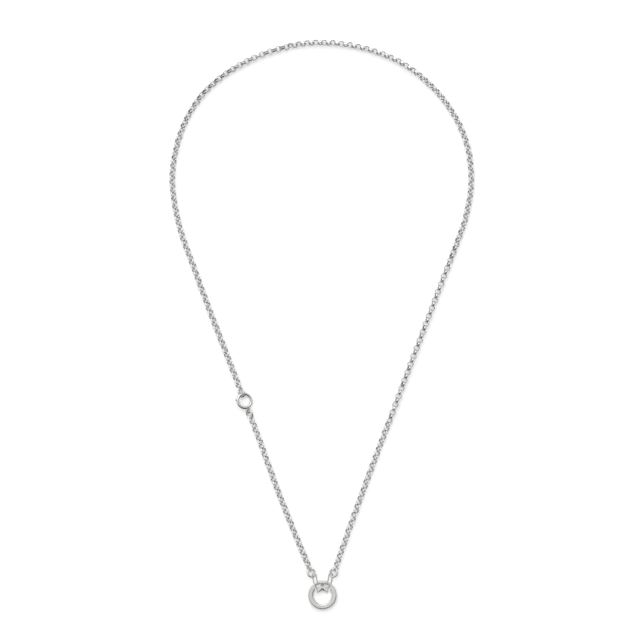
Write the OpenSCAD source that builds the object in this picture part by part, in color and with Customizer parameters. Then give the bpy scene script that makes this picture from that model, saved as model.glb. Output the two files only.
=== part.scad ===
// Rolo chain necklace laid out flat, with an open ring pendant that carries a small star.
// Millimetres. The necklace lies on the plane z = 0, front face up, pendant towards -Y.
// The origin is at the middle of the laid-out loop, on the surface that it rests on.

/* [Carrier ring] */
// Outer diameter of the pendant's ring
ring_d = 9.8; // [9.6:0.1:10.2]
// Diameter of the ring's opening
ring_hole_d = 6.2; // [6.1:0.1:6.5]
// Thickness of the ring, front to back
ring_t = 1.5; // [1.5:0.05:1.7]
// Rounding of the ring's edges
ring_edge_r = 0.44; // [0.3:0.02:0.46]
// Clear width of the gap in the top of the ring, where the star sits
gap_w = 5.4; // [5.4:0.05:5.7]
// Width of the slim bar that bridges the gap, measured outwards from the ring's centre
bar_w = 0.56; // [0.5:0.02:0.6]
// Height of the bar, front to back
bar_t = 0.96; // [0.9:0.02:1]
// Rounding of the bar's edges
bar_edge_r = 0.16; // [0.1:0.02:0.22]

/* [Eyelets] */
// Diameter of the eyelets' wire
eyelet_wire_d = 0.4; // [0.34:0.02:0.44]
// Radius of the eyelets' round top, to the middle of the wire
eyelet_r = 0.78; // [0.76:0.01:0.82]

/* [Star] */
// Thickness of the star at its edges
star_edge_t = 0.7; // [0.5:0.05:0.7]
// Height of the star's centre above its edges
star_rise = 0.15; // [0.1:0.05:0.25]
// Width of the bevel round the star's face, as a share of the way in to its centre
star_bevel = 0.07; // [0.05:0.01:0.07]
// Length of the tube that holds the star on the bar
bail_w = 2; // [1.9:0.1:2.1]
// Wall of that tube
bail_wall = 0.15; // [0.1:0.01:0.16]

/* [Small rings] */
// Outer diameter of the jump rings at the pendant and at the clasp
jump_d = 3.3; // [3.2:0.05:3.35]
// Diameter of the jump rings' wire
jump_wire_d = 0.6; // [0.5:0.02:0.6]
// Outer diameter of the ring that the clasp closes on
closing_d = 3.4; // [3.3:0.05:3.5]

/* [Clasp] */
// Outer diameter of the round clasp
clasp_d = 5.8; // [5.6:0.1:6]
// Diameter of the clasp's tube
clasp_tube_d = 1; // [0.8:0.05:1]
// Diameter of the wire of the clasp's eye
eye_wire_d = 0.54; // [0.44:0.02:0.56]
// Radius of the clasp's eye, to the middle of its wire
eye_r = 0.75; // [0.74:0.01:0.8]

/* [Chain] */
// Outer diameter of one round link
link_d = 2.14; // [2.1:0.01:2.16]
// Thickness of a link's half-round band, from the inside of the link to its outside
link_t = 0.26; // [0.25:0.01:0.28]
// Width of a link's band
link_w = 0.8; // [0.76:0.01:0.8]
// Width of the chain as a whole, which its links fill
chain_w = 2.1; // [1.9:0.05:2.2]

/* [Hidden] */
$fn = 48;
eps = 0.01;

// Where the pendant lies
ring_centre = [0.3, -91.9];
ring_r = ring_d / 2;
ring_hole_r = ring_hole_d / 2;
band_w = ring_r - ring_hole_r;
bar_r = ring_r - 0.14 - bar_w / 2;
bar_reach = 88;

// The star's outline, right half, from the bail down to the notch between the legs
bail_gap = 0.1;
bail_drop = bar_r - sqrt(pow(bar_r, 2) - pow(bail_w / 2, 2));
bail_y = bar_r - bail_drop / 2;
bail_in_w = bar_w + bail_drop + 2 * bail_gap;
bail_in_t = bar_t + 2 * bail_gap;
bail_out_w = bail_in_w + 2 * bail_wall;
bail_out_t = bail_in_t + 2 * bail_wall;
bail_in_r = bar_edge_r + bail_gap;
bail_out_r = 0.2;
star_neck = [0.9, bail_y - bail_in_w / 2 - bail_wall / 4];
star_shoulder = [0.9, 3.77];
star_arm = [2.55, 3.17];
star_side_notch = [1.85, 2.15];
star_leg = [1.85, 0.74];
star_low_notch = [0, 1.66];
star_centre = [0, 2.5];
star_z = 0.5;
star_bevel_t = 0.12;
hole_y = 3.4;
hole_r = 0.3;
hole_straight = 0.44;

// The eyelets and jump rings, for the left side: the right side is its mirror image.
// A heading is an angle in plan, a slope lifts that way, and a roll turns about it.
eyelet_top = [-2.8, 6.75, 0.944];
eyelet_heading = 99;
eyelet_slope = 3;
eyelet_roll = -38;
outer_leg_l = 3.2;
inner_leg_l = 2.75;
jump_at = [-3.75, 7.5, 0.99];
jump_heading = 120;
jump_roll = 24;
end_link_reach = 1.6;
end_link_heading = 113;
end_link_roll = -45;

// The clasp and the rings either side of it, in places along the chain from the clasp's centre
clasp_centre = [-26.2, -25.9];
clasp_heading = 111;
clasp_roll = 20;
clasp_z = 1.37;
clasp_jump_gap = 0.4;
clasp_jump_x = -clasp_d / 2 - 2 * eye_r - clasp_jump_gap;
clasp_jump_z = 1.3;
clasp_jump_slope = 3;
clasp_jump_roll = -46;
closing_x = 2.8;
closing_z = 1.37;
closing_slope = -12;
closing_roll = -45;
clasp_link_reach = 1.3;
clasp_link_roll = 45;
trigger_angle = 65;
trigger_d = 0.5;
trigger_l = 0.9;

// A link's band at its edges
link_edge_t = 0.2;
link_edge_r = 0.2;

// The height of a link's middle when it stands on its edge, rolled by 45 degrees
link_z = (link_d / 2 - link_t + link_edge_t + link_w / 2) * sin(45);

// The chain's route, from the pendant's left side to the clasp, and from there round to its right side
short_route = [[-4.6, -81.8], [-9.5, -70], [-15.4, -55], [-20.8, -40], [-23.6, -32.8]];
long_route = [
    [-28.1, -20.9], [-32.3, -10], [-38.1, 5], [-43.6, 20], [-47.3, 30], [-49.8, 40],
    [-50.8, 50], [-49.5, 60], [-46, 70], [-40, 79], [-31, 86.5], [-20, 92], [-8, 95.3],
    [4, 95.7], [16, 93.5], [27, 89], [37, 81.5], [44.7, 72], [49.5, 61], [50.9, 49],
    [49.1, 37], [45.2, 26], [40.6, 14], [35.3, 0], [29.6, -15], [24, -30],
    [18.3, -45], [12.8, -60], [7.4, -75], [5.2, -81.8]
];
chain_sides = 8;

// The furthest that two of the chain's cross-sections lie apart
section_pitch = 6.4;

// A rectangle with round ends or corners, about the origin
module rounded(size, r) {
    if (size[1] > 2 * r + eps) square([size[0], size[1] - 2 * r], center = true);
    if (size[0] > 2 * r + eps) square([size[0] - 2 * r, size[1]], center = true);
    for (x = [-1, 1], y = [-1, 1])
        translate([x * (size[0] / 2 - r), y * (size[1] / 2 - r)]) circle(r);
}

// A place in the pendant, measured from the ring's centre
module at_pendant() {
    translate([ring_centre[0], ring_centre[1], 0]) children();
}

// The pendant's right side mirrors its left side
module on_side(side) {
    at_pendant() {
        if (side < 0) children();
        else mirror([1, 0, 0]) children();
    }
}

// A place with a heading, a slope and a roll
module aimed(at, heading, slope = 0, roll = 0) {
    translate(at) rotate([0, 0, heading]) rotate([0, -slope, 0]) rotate([roll, 0, 0]) children();
}

// A place along the chain from the clasp's centre
module at_clasp() {
    translate([clasp_centre[0], clasp_centre[1], 0]) rotate([0, 0, clasp_heading]) children();
}

// A closed ring of round wire
module wire_ring(outer_d, wire_d) {
    rotate_extrude() translate([(outer_d - wire_d) / 2, 0]) circle(d = wire_d);
}

// One chain link: a band that is domed outside, with its edges rounded on the inside
module band_link() {
    dome = link_t - link_edge_t;
    dome_r = (pow(link_w / 2, 2) + pow(dome, 2)) / (2 * dome);
    rotate_extrude()
        intersection() {
            translate([(link_d - link_t + link_edge_r) / 2, 0])
                rounded([link_t + link_edge_r, link_w], link_edge_r);
            translate([link_d / 2 - dome_r, 0]) circle(dome_r);
        }
}

// One eyelet: a round top and two straight legs that run into the ring
module eyelet() {
    rotate([0, 0, -90]) rotate_extrude(angle = 180)
        translate([eyelet_r, 0]) circle(d = eyelet_wire_d);
    translate([0, eyelet_r, 0]) rotate([0, -90, 0]) cylinder(d = eyelet_wire_d, h = outer_leg_l);
    translate([0, -eyelet_r, 0]) rotate([0, -90, 0]) cylinder(d = eyelet_wire_d, h = inner_leg_l);
}

module carrier_ring() {
    color("silver") {
        at_pendant() {
            difference() {
                translate([0, 0, ring_t / 2]) rotate_extrude()
                    translate([ring_hole_r + band_w / 2, 0]) rounded([band_w, ring_t], ring_edge_r);
                translate([-gap_w / 2, 0, -1]) cube([gap_w, ring_d, ring_t + 2]);
            }
            translate([0, 0, ring_t / 2]) rotate([0, 0, 90 - bar_reach / 2])
                rotate_extrude(angle = bar_reach)
                    translate([bar_r, 0]) rounded([bar_w, bar_t], bar_edge_r);
        }
        for (side = [-1, 1])
            on_side(side) aimed(eyelet_top, eyelet_heading, eyelet_slope, eyelet_roll) eyelet();
    }
}

// The star's plate: an outline with straight sides and a bevel, rising to a point at its centre
module star_plate() {
    right = [star_neck, star_shoulder, star_arm, star_side_notch, star_leg];
    left = [for (i = [len(right) - 1 : -1 : 0]) [-right[i][0], right[i][1]]];
    outline = concat(right, [star_low_notch], left);
    n = len(outline);
    top_z = star_z + star_edge_t;
    low = [for (p = outline) [p[0], p[1], star_z]];
    high = [for (p = outline) [p[0], p[1], top_z - star_bevel_t]];
    face = [
        for (p = outline)
            let (q = p + star_bevel * (star_centre - p))
            [q[0], q[1], top_z]
    ];
    middles = [for (z = [top_z + star_rise, star_z]) [star_centre[0], star_centre[1], z]];
    polyhedron(
        points = concat(low, high, face, middles),
        faces = concat(
            [for (i = [0 : n - 1]) [(i + 1) % n, i, 3 * n + 1]],
            [for (k = [0, n], i = [0 : n - 1]) [k + i, k + (i + 1) % n, k + n + (i + 1) % n, k + n + i]],
            [for (i = [0 : n - 1]) [2 * n + i, 2 * n + (i + 1) % n, 3 * n]]
        )
    );
}

module star() {
    color("gainsboro") at_pendant() {
        difference() {
            star_plate();
            translate([0, hole_y, -eps]) linear_extrude(ring_t + 1)
                rounded([hole_straight + 2 * hole_r, 2 * hole_r], hole_r);
        }
        translate([-bail_w / 2, bail_y, ring_t / 2]) rotate([90, 0, 90])
            linear_extrude(bail_w) difference() {
                rounded([bail_out_w, bail_out_t], bail_out_r);
                rounded([bail_in_w, bail_in_t], bail_in_r);
            }
    }
}

module side_jump_ring(side) {
    color("silver") on_side(side) aimed(jump_at, jump_heading, 0, jump_roll)
        wire_ring(jump_d, jump_wire_d);
}

module side_end_link(side) {
    along = [cos(end_link_heading), sin(end_link_heading)];
    at = [jump_at[0] + end_link_reach * along[0], jump_at[1] + end_link_reach * along[1], link_z];
    color("silver") on_side(side) aimed(at, end_link_heading, 0, end_link_roll) band_link();
}

// A smooth curve through the points of a route
function route_point(route, i) =
    i < 0 ? 2 * route[0] - route[1]
    : i >= len(route) ? 2 * route[len(route) - 1] - route[len(route) - 2]
    : route[i];
function curve_point(a, b, c, d, t) =
    0.5 * (2 * b + (c - a) * t + (2 * a - 5 * b + 4 * c - d) * t * t
        + (3 * b - a - 3 * c + d) * t * t * t);
function curve(route) = [
    for (i = [0 : len(route) - 2])
        let (steps = ceil(norm(route[i + 1] - route[i]) / section_pitch))
        for (k = [0 : steps - 1])
            curve_point(
                route_point(route, i - 1), route[i], route[i + 1], route_point(route, i + 2), k / steps
            ),
    route[len(route) - 1]
];
function unit(v) = v / norm(v);

// A chain's envelope: one tube with flat sides, swept along a route that lies on the surface
module chain_tube(route) {
    path = curve(route);
    n = len(path);
    corner_r = chain_w / 2 / cos(180 / chain_sides);
    points = [
        for (i = [0 : n - 1])
            let (
                ahead = unit(path[min(i + 1, n - 1)] - path[max(i - 1, 0)]),
                side = [ahead[1], -ahead[0]]
            )
            for (k = [0 : chain_sides - 1])
                let (a = 360 * (k + 0.5) / chain_sides)
                [
                    path[i][0] + corner_r * cos(a) * side[0],
                    path[i][1] + corner_r * cos(a) * side[1],
                    chain_w / 2 + corner_r * sin(a)
                ]
    ];
    walls = [
        for (i = [0 : n - 2], k = [0 : chain_sides - 1])
            let (a = i * chain_sides + k, b = i * chain_sides + (k + 1) % chain_sides)
            [a, b, b + chain_sides, a + chain_sides]
    ];
    first_end = [for (k = [chain_sides - 1 : -1 : 0]) k];
    last_end = [for (k = [0 : chain_sides - 1]) (n - 1) * chain_sides + k];
    polyhedron(points = points, faces = concat(walls, [first_end, last_end]));
}

module chain_short() {
    color("darkgray") chain_tube(short_route);
}

module chain_long() {
    color("darkgray") chain_tube(long_route);
}

// A round clasp with its eye, seen as one plain piece
module clasp() {
    clasp_r = (clasp_d - clasp_tube_d) / 2;
    color("silver") at_clasp() aimed([0, 0, clasp_z], 0, 0, clasp_roll) {
        wire_ring(clasp_d, clasp_tube_d);
        translate([-clasp_d / 2 - eye_r + 0.1, 0, 0]) wire_ring(2 * eye_r + eye_wire_d, eye_wire_d);
        rotate([0, 0, trigger_angle]) translate([clasp_r, 0, 0]) rotate([0, 90, 0])
            cylinder(d = trigger_d, h = trigger_l);
    }
}

module clasp_jump_ring() {
    color("silver") at_clasp()
        aimed([clasp_jump_x, 0, clasp_jump_z], 0, clasp_jump_slope, clasp_jump_roll)
            wire_ring(jump_d, jump_wire_d);
}

module closing_ring() {
    color("silver") at_clasp() aimed([closing_x, 0, closing_z], 0, closing_slope, closing_roll)
        wire_ring(closing_d, jump_wire_d);
}

module clasp_side_link(x) {
    color("silver") at_clasp() aimed([x, 0, link_z], 0, 0, clasp_link_roll) band_link();
}

carrier_ring();
star();
side_jump_ring(-1);  // left_jump_ring
side_jump_ring(1);  // right_jump_ring
side_end_link(-1);  // left_end_link
side_end_link(1);  // right_end_link
chain_short();
chain_long();
clasp();
clasp_jump_ring();
closing_ring();
clasp_side_link(clasp_jump_x - clasp_link_reach);  // clasp_end_link
clasp_side_link(closing_x + clasp_link_reach);  // closing_end_link
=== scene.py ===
"""Looks of a silver rolo chain necklace with an open ring and star pendant, laid out flat.

Metres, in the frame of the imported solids: +Z up, the pendant towards -Y, the back of the neck towards +Y.
"""

import math
import random

import bpy
from mathutils import Matrix, Vector


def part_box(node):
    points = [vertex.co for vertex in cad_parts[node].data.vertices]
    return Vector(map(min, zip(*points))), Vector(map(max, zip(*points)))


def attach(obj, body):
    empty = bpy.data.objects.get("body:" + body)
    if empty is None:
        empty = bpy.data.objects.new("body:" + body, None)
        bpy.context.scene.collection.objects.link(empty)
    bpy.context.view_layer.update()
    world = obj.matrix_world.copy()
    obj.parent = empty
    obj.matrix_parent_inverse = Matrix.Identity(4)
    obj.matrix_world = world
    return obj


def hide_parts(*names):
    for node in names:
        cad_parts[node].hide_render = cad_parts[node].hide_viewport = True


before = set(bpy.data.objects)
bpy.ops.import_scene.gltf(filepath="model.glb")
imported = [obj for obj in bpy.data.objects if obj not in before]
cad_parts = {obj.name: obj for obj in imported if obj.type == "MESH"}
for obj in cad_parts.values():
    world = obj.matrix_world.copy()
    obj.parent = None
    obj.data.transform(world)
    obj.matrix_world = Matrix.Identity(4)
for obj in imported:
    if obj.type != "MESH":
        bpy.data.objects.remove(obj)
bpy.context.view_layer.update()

MM = 0.001
WHITE = (1, 1, 1, 1)

# The photograph's frame, on the level of the chain, and the camera straight above it
VIEW_W = 217.6 * MM
VIEW_CENTRE = Vector((-0.54 * MM, 1.6 * MM, 1 * MM))
CAMERA_HEIGHT = 1.2
CAMERA_NEAR = 0.01
SENSOR_W = 36.0

# One link: a domed band with soft inner edges
LINK_R = 1.07 * MM
LINK_T = 0.26 * MM
LINK_HALF_W = 0.4 * MM
LINK_EDGE_T = 0.2 * MM
LINK_EDGE_R = 0.2 * MM
LINK_DOME = LINK_T - LINK_EDGE_T
LINK_DOME_R = (LINK_HALF_W**2 + LINK_DOME**2) / (2 * LINK_DOME)
LINK_SEGMENTS = 28
LINK_CORNER_STEPS = 3
LINK_DOME_STEPS = 4

# The chain's two routes in plan, in millimetres, from the middle of one end link to that of the other
SHORT_ROUTE = [(-4.08, -82.93), (-9.5, -70), (-15.4, -55), (-20.8, -40), (-24.01, -31.6)]
LONG_ROUTE = [
    (-27.67, -22.07), (-32.3, -10), (-38.1, 5), (-43.6, 20), (-47.3, 30), (-49.8, 40),
    (-50.8, 50), (-49.5, 60), (-46, 70), (-40, 79), (-31, 86.5), (-20, 92), (-8, 95.3),
    (4, 95.7), (16, 93.5), (27, 89), (37, 81.5), (44.7, 72), (49.5, 61), (50.9, 49),
    (49.1, 37), (45.2, 26), (40.6, 14), (35.3, 0), (29.6, -15), (24, -30),
    (18.3, -45), (12.8, -60), (7.4, -75), (4.68, -82.93),
]
ROUTE_STEPS = 24

# How the links lie: where along the route, in millimetres, which link lies there, and how far
# its even and its odd links are rolled about the chain, in degrees. None is the route's end.
SHORT_LAY = [(0, 0, -45, 45), (None, 37, -45, 45)]
LONG_LAY = [
    (0, 0, 45, 135),
    (88.5, 63, 45, 135),
    (128.5, 92, 10, 105),
    (137.2, 98, 10, 105),
    (147.3, 105, 70, 165),
    (185.2, 131, 70, 165),
    (190.7, 135, 45, 135),
    (241.5, 172, 45, 135),
    (266.1, 189, 80, 175),
    (312.8, 221, 80, 175),
    (318.7, 225, 45, 135),
    (None, 259, 45, 135),
]

# How much the links stray from a perfectly even lay, as standard deviations
STRAY_ROLL = math.radians(4)
STRAY_TURN = math.radians(2)
STRAY_SIDE = 0.02 * MM
STRAY_SEED = 11

# How dark the painted shade makes a link's inner face, and the star's small hole, against their outer faces
INSIDE_SHADE_TONE = 0.6
HOLE_SHADE_TONE = 0.06

# The star's small oval hole: how far its middle lies above the tips of the star's legs, half its
# size, and how wide the painted shade round it is
STAR_HOLE_UP = 2.66 * MM
STAR_HOLE_HALF = (0.52 * MM, 0.3 * MM)
STAR_HOLE_RIM = 0.22 * MM

# Noise: its detail, the range that its values usually fill, and how many patches of tone lie in a metre
NOISE_DETAIL = 3.0
NOISE_RANGE = (0.3, 0.7)
SILVER_PATCHES = 260
FLOOR_PATCHES = 30

# The floor: half its width, its tones, its roughness, its gloss and its own faint glow
FLOOR_HALF = 2.0
FLOOR_TONES = ((0.91, 0.91, 0.91), (0.92, 0.92, 0.92))
FLOOR_ROUGH = 0.7
FLOOR_GLOSS = 0.2
FLOOR_GLOW = 0.16

# The sky that the metal mirrors: its brightness overhead, half way up on the lit and the shaded
# side, and at the horizon
SKY_TOP = 0.95
SKY_LIT = 0.8
SKY_SHADED = 0.05
SKY_HORIZON = 0.4
SKY_LIT_SIDE = (-0.3, 0.95, 0)

# Where one part of the sky turns into the next, as the sine of the height or along the lit side
TURN_SIDE = (-0.5, 0.1)
TURN_HORIZON = (0.0, 0.3)
TURN_TOP = (0.88, 0.98)

# The plain backdrop past the floor's edge
BACKDROP = 0.9

# The soft key light: where it hangs, its diameter and its power
KEY_AT = (-0.25, 0.8, 0.9)
KEY_SIZE = 1.4
KEY_POWER = 6.0

# The fill light that whitens the floor
FILL_AT = (0, 0, 1.5)
FILL_SIZE = 2.0
FILL_POWER = 8.0


def curve_point(a, b, c, d, t):
    """A point between b and c on the smooth curve through a, b, c and d."""
    return 0.5 * (
        2 * b + (c - a) * t + (2 * a - 5 * b + 4 * c - d) * t**2 + (3 * b - a - 3 * c + d) * t**3
    )


def smooth_route(points):
    """The smooth curve through a route's points, in metres, as many short steps."""
    p = [Vector(q) * MM for q in points]
    p = [2 * p[0] - p[1], *p, 2 * p[-1] - p[-2]]
    curve = [
        curve_point(*p[i - 1 : i + 3], k / ROUTE_STEPS)
        for i in range(1, len(p) - 2)
        for k in range(ROUTE_STEPS)
    ]
    return [*curve, p[-2]]


def along(curve):
    """The distance from the start of a curve to each of its points."""
    total = [0.0]
    for a, b in zip(curve, curve[1:]):
        total.append(total[-1] + (b - a).length)
    return total


def between(table, x):
    """A row of the table (x, ...), interpolated at x."""
    for low, high in zip(table, table[1:]):
        if x <= high[0]:
            t = (x - low[0]) / (high[0] - low[0])
            return [a + (b - a) * t for a, b in zip(low, high)]
    return table[-1]


def link_profile():
    """A link's section, round its outside from one inner edge to the other: (radius, height, inside).

    Inside is 1 on the inner face and its soft edges, where the silver gets a painted shade, else 0."""
    inner = LINK_R - LINK_T
    corner_h = LINK_HALF_W - LINK_EDGE_R
    spread = math.asin(LINK_HALF_W / LINK_DOME_R)
    corner = []
    for k in range(LINK_CORNER_STEPS + 1):
        a = math.pi / 2 * k / LINK_CORNER_STEPS
        corner.append((inner + LINK_EDGE_R * (1 - math.cos(a)), corner_h + LINK_EDGE_R * math.sin(a), 1.0))
    dome = []
    for k in range(1, LINK_DOME_STEPS):
        a = spread * (2 * k / LINK_DOME_STEPS - 1)
        dome.append((LINK_R - LINK_DOME_R * (1 - math.cos(a)), LINK_DOME_R * math.sin(a), 0.0))
    return [(r, -h, inside) for r, h, inside in corner] + dome + corner[::-1]


def stand_height(rolls):
    """How high the middle of the links lies when they rest on the surface, rolled by these angles."""
    return max(r * abs(math.sin(a)) + h * abs(math.cos(a)) for a in rolls for r, h, _ in link_profile())


def link_places(route, lay):
    """The matrix of each link between the two end links of a route."""
    curve = smooth_route(route)
    distance = along(curve)
    stations = [(d, p.x, p.y) for d, p in zip(distance, curve)]
    rows = [(link, distance[-1] if at is None else at * MM, *rolls) for at, link, *rolls in lay]
    chance = random.Random(STRAY_SEED)
    places = []
    for i in range(1, rows[-1][0]):
        _, at, *degrees = between(rows, i)
        _, x, y = between(stations, at)
        _, ahead_x, ahead_y = between(stations, at + LINK_R)
        _, back_x, back_y = between(stations, at - LINK_R)
        heading = math.atan2(ahead_y - back_y, ahead_x - back_x)
        rolls = [math.radians(d) for d in degrees]
        side = chance.gauss(0, STRAY_SIDE)
        turn = heading + chance.gauss(0, STRAY_TURN)
        roll = rolls[i % 2] + chance.gauss(0, STRAY_ROLL)
        stand = stand_height([*rolls, roll])
        at_point = Vector((x - side * math.sin(heading), y + side * math.cos(heading), stand))
        places.append(
            Matrix.Translation(at_point) @ Matrix.Rotation(turn, 4, "Z") @ Matrix.Rotation(roll, 4, "X")
        )
    return places


def mesh_piece(name, vertices, faces, material):
    """A smooth mesh object with one material."""
    mesh = bpy.data.meshes.new(name)
    mesh.from_pydata(vertices, [], faces)
    mesh.materials.append(material)
    mesh.shade_smooth()
    piece = bpy.data.objects.new(name, mesh)
    bpy.context.scene.collection.objects.link(piece)
    return piece


def link_mesh(profile):
    """One link's vertices and faces: its profile swept round the Z axis."""
    n = len(profile)
    vertices, faces = [], []
    for i in range(LINK_SEGMENTS):
        a = 2 * math.pi * i / LINK_SEGMENTS
        vertices += [Vector((r * math.cos(a), r * math.sin(a), h)) for r, h, _ in profile]
        here, ahead = i * n, (i + 1) % LINK_SEGMENTS * n
        for k in range(n):
            following = (k + 1) % n
            faces.append((here + k, ahead + k, ahead + following, here + following))
    return vertices, faces


def chain(name, route, lay, material):
    """A stretch of chain: all its links in one mesh, which knows their inner faces."""
    profile = link_profile()
    ring, quads = link_mesh(profile)
    vertices, faces = [], []
    places = link_places(route, lay)
    for place in places:
        start = len(vertices)
        vertices += [place @ v for v in ring]
        faces += [[start + k for k in quad] for quad in quads]
    piece = mesh_piece(name, vertices, faces, material)
    inside = piece.data.attributes.new("inside", "FLOAT", "POINT")
    inside.data.foreach_set("value", [i for _, _, i in profile] * LINK_SEGMENTS * len(places))
    return piece


def map_range(tree, value, from_low, from_high, to_low, to_high, interpolation="LINEAR"):
    """A value mapped from one range to another. Each of the five may be what another node gives."""
    node = tree.nodes.new("ShaderNodeMapRange")
    node.interpolation_type = interpolation
    keys = ("Value", "From Min", "From Max", "To Min", "To Max")
    for key, number in zip(keys, (value, from_low, from_high, to_low, to_high)):
        if isinstance(number, bpy.types.NodeSocket):
            tree.links.new(number, node.inputs[key])
        else:
            node.inputs[key].default_value = number
    return node.outputs["Result"]


class Shader:
    """A new material's node tree, with short calls to add and join its nodes."""

    def __init__(self, name):
        self.material = bpy.data.materials.new(name)
        self.material.use_nodes = True
        self.tree = self.material.node_tree
        self.surface = self.tree.nodes["Principled BSDF"]

    def add(self, kind, **values):
        """A new node, with these values of its sockets or of its own."""
        node = self.tree.nodes.new(kind)
        for key, value in values.items():
            if key in node.inputs:
                node.inputs[key].default_value = value
            else:
                setattr(node, key, value)
        return node

    def join(self, out_socket, in_socket):
        """Leads what one node gives into another."""
        self.tree.links.new(out_socket, in_socket)

    def set(self, **values):
        """Sets plain values of the surface, named with underscores for spaces."""
        for key, value in values.items():
            self.surface.inputs[key.replace("_", " ")].default_value = value

    def noise(self, scale, stretch=(1, 1, 1)):
        """Noise over the object's own coordinates, drawn out along an axis by a large stretch."""
        place = self.add("ShaderNodeTexCoord")
        mapping = self.add("ShaderNodeMapping")
        mapping.inputs["Scale"].default_value = [1 / s for s in stretch]
        noise = self.add("ShaderNodeTexNoise", Scale=scale, Detail=NOISE_DETAIL)
        self.join(place.outputs["Object"], mapping.inputs["Vector"])
        self.join(mapping.outputs["Vector"], noise.inputs["Vector"])
        return noise.outputs["Fac"]

    def spread(self, value, low, high, in_range=NOISE_RANGE):
        """A value mapped from its usual range to a range of the surface's."""
        return map_range(self.tree, value, *in_range, low, high)

    def tint(self, value, low, high):
        """A colour between two, by a value. The first may be what another node gives."""
        mix = self.add("ShaderNodeMix", data_type="RGBA")
        if isinstance(low, bpy.types.NodeSocket):
            self.join(low, mix.inputs["A"])
        else:
            mix.inputs["A"].default_value = (*low, 1)
        mix.inputs["B"].default_value = (*high, 1)
        self.join(value, mix.inputs["Factor"])
        return mix.outputs["Result"]

    def attribute(self, name):
        """A value that the mesh holds, 0 where it has none."""
        return self.add("ShaderNodeAttribute", attribute_name=name).outputs["Fac"]

    def oval(self, centre, half, rim):
        """1 in an oval of the plan, falling to 0 over a rim round it."""
        place = self.add("ShaderNodeTexCoord")
        mapping = self.add("ShaderNodeMapping", vector_type="TEXTURE")
        mapping.inputs["Location"].default_value = centre
        mapping.inputs["Scale"].default_value = (half[0] + rim, half[1] + rim, 1)
        inward = self.add("ShaderNodeTexGradient", gradient_type="SPHERICAL")
        self.join(place.outputs["Object"], mapping.inputs["Vector"])
        self.join(mapping.outputs["Vector"], inward.inputs["Vector"])
        return self.spread(inward.outputs["Fac"], 0, 1, in_range=(0, rim / (half[0] + rim)))

    def bump(self, value, height):
        """Raises the surface by a value, up to a height."""
        bump = self.add("ShaderNodeBump", Strength=1.0, Distance=height)
        self.join(value, bump.inputs["Height"])
        self.join(bump.outputs["Normal"], self.surface.inputs["Normal"])


def silver(name, bright, dull, rough, marks, depth, stretch=(1, 1, 1), shade_mask=None, shade_tone=1.0):
    """Silver with a colour that drifts from bright to dull, and so many fine marks to the metre.

    An optional mask gives a value that is 1 where the silver is darkened as painted shade, by the given
    tone."""
    s = Shader(name)
    s.set(Metallic=1.0)
    colour = s.tint(s.spread(s.noise(SILVER_PATCHES), 0, 1), bright, dull)
    # painted shade: where the mask is 1 the colour turns to a darker copy of the dull tone
    if shade_mask:
        colour = s.tint(shade_mask(s), colour, [shade_tone * c for c in dull])
    s.join(colour, s.surface.inputs["Base Color"])
    pattern = s.noise(marks, stretch)
    s.join(s.spread(pattern, *rough), s.surface.inputs["Roughness"])
    s.bump(pattern, depth)
    return s.material


def floor_white():
    """Matt white with a faint glow."""
    s = Shader("floor_white")
    s.set(Roughness=FLOOR_ROUGH, Specular_IOR_Level=FLOOR_GLOSS)
    s.set(Emission_Color=WHITE, Emission_Strength=FLOOR_GLOW)
    drift = s.spread(s.noise(FLOOR_PATCHES), 0, 1)
    s.join(s.tint(drift, *FLOOR_TONES), s.surface.inputs["Base Color"])
    return s.material


def stage_floor():
    """A pale floor far wider than the necklace."""
    corners = [(x * FLOOR_HALF, y * FLOOR_HALF, 0) for x, y in ((-1, -1), (1, -1), (1, 1), (-1, 1))]
    floor = mesh_piece("floor", corners, [(0, 1, 2, 3)], floor_white())


def aim(thing, target):
    """Turns a light so that it shines on a point."""
    thing.rotation_euler = (Vector(target) - thing.location).to_track_quat("-Z", "Y").to_euler()


def area_light(name, location, size, power, mirrored=True):
    """A round soft light that faces the necklace, which the metal mirrors or not."""
    light = bpy.data.lights.new(name, "AREA")
    light.shape = "DISK"
    light.size = size
    light.energy = power
    holder = bpy.data.objects.new(name, light)
    holder.location = location
    holder.visible_camera = False
    holder.visible_glossy = mirrored
    bpy.context.scene.collection.objects.link(holder)
    aim(holder, (0, 0, 0))


def studio_sky():
    """A white tent, lit from +Y and dark towards -Y, with a plain pale backdrop for the camera."""
    world = bpy.data.worlds.new("studio")
    bpy.context.scene.world = world
    world.use_nodes = True
    tree = world.node_tree

    def ease(value, turn, before, after):
        """One brightness that turns smoothly into the next."""
        return map_range(tree, value, *turn, before, after, "SMOOTHSTEP")

    direction = tree.nodes.new("ShaderNodeTexCoord").outputs["Generated"]
    dot = tree.nodes.new("ShaderNodeVectorMath")
    dot.operation = "DOT_PRODUCT"
    dot.inputs[1].default_value = SKY_LIT_SIDE
    tree.links.new(direction, dot.inputs[0])
    split = tree.nodes.new("ShaderNodeSeparateXYZ")
    tree.links.new(direction, split.inputs[0])
    up = split.outputs["Z"]
    side = ease(dot.outputs["Value"], TURN_SIDE, SKY_SHADED, SKY_LIT)
    middle = ease(up, TURN_HORIZON, SKY_HORIZON, side)
    sky = ease(up, TURN_TOP, middle, SKY_TOP)
    seen = tree.nodes.new("ShaderNodeLightPath").outputs["Is Camera Ray"]
    background = tree.nodes["Background"]
    tree.links.new(ease(seen, (0, 1), sky, BACKDROP), background.inputs["Strength"])
    background.inputs["Color"].default_value = WHITE


def camera():
    """The camera, straight above the middle of the view."""
    data = bpy.data.cameras.new("camera")
    data.sensor_width = SENSOR_W
    data.lens = SENSOR_W * CAMERA_HEIGHT / VIEW_W
    data.clip_start = CAMERA_NEAR
    holder = bpy.data.objects.new("camera", data)
    holder.location = VIEW_CENTRE + Vector((0, 0, CAMERA_HEIGHT))
    bpy.context.scene.collection.objects.link(holder)
    bpy.context.scene.camera = holder


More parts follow.
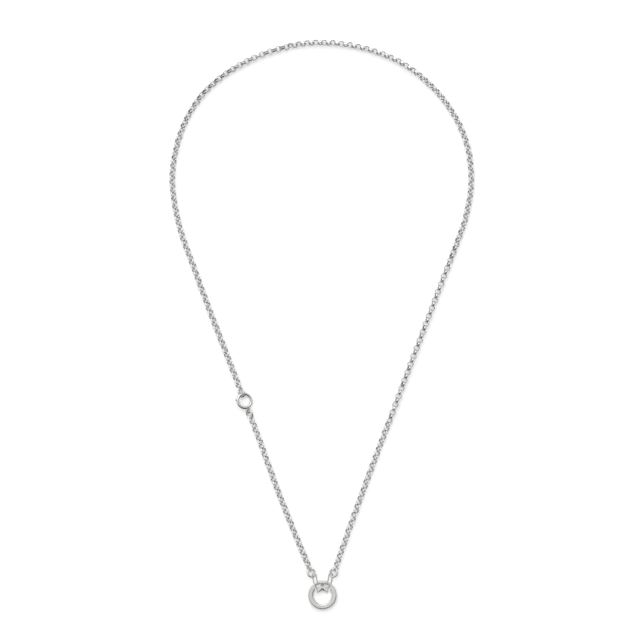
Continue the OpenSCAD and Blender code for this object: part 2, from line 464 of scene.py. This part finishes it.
def finish_nodes(names, material):
    """Gives solids of the frame a material in place of their plain one."""
    for name in names:
        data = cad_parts[name].data
        data.materials.clear()
        data.materials.append(material)


bpy.context.scene.view_settings.view_transform = "Standard"
camera()
studio_sky()
area_light("key", KEY_AT, KEY_SIZE, KEY_POWER)
area_light("fill", FILL_AT, FILL_SIZE, FILL_POWER, mirrored=False)
stage_floor()

star_low, star_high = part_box("star")
star_hole = ((star_low.x + star_high.x) / 2, star_low.y + STAR_HOLE_UP, 0)

link_finish = silver(
    "link_finish",
    bright=(0.93, 0.93, 0.92),
    dull=(0.85, 0.85, 0.84),
    rough=(0.12, 0.22),
    marks=3000,
    depth=0.002 * MM,
    # painted shade: the links' inner faces and soft inner edges are darkened
    shade_mask=lambda s: s.attribute("inside"),
    shade_tone=INSIDE_SHADE_TONE,
)
wire_finish = silver(
    "wire_finish",
    bright=(0.68, 0.68, 0.67),
    dull=(0.61, 0.61, 0.60),
    rough=(0.14, 0.24),
    marks=2200,
    depth=0.002 * MM,
    stretch=(1, 3, 1),
)
satin_finish = silver(
    "satin_finish",
    bright=(0.69, 0.69, 0.68),
    dull=(0.64, 0.64, 0.63),
    rough=(0.22, 0.31),
    marks=3600,
    depth=0.004 * MM,
    stretch=(12, 1, 1),
)
star_finish = silver(
    "star_finish",
    bright=(0.72, 0.72, 0.71),
    dull=(0.67, 0.66, 0.65),
    rough=(0.16, 0.27),
    marks=3000,
    depth=0.003 * MM,
    # painted shade: the star is darkened in and round its small oval hole
    shade_mask=lambda s: s.oval(star_hole, STAR_HOLE_HALF, STAR_HOLE_RIM),
    shade_tone=HOLE_SHADE_TONE,
)

short_chain = chain("short_chain_links", SHORT_ROUTE, SHORT_LAY, link_finish)
long_chain = chain("long_chain_links", LONG_ROUTE, LONG_LAY, link_finish)
for piece, node in ((short_chain, "chain_short"), (long_chain, "chain_long")):
    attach(piece, "root")
    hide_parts(node)

finish_nodes(["carrier_ring"], satin_finish)
finish_nodes(["star"], star_finish)
finish_nodes(
    ["left_jump_ring", "right_jump_ring", "clasp", "clasp_jump_ring", "closing_ring"], wire_finish
)
finish_nodes(["left_end_link", "right_end_link", "clasp_end_link", "closing_end_link"], link_finish)
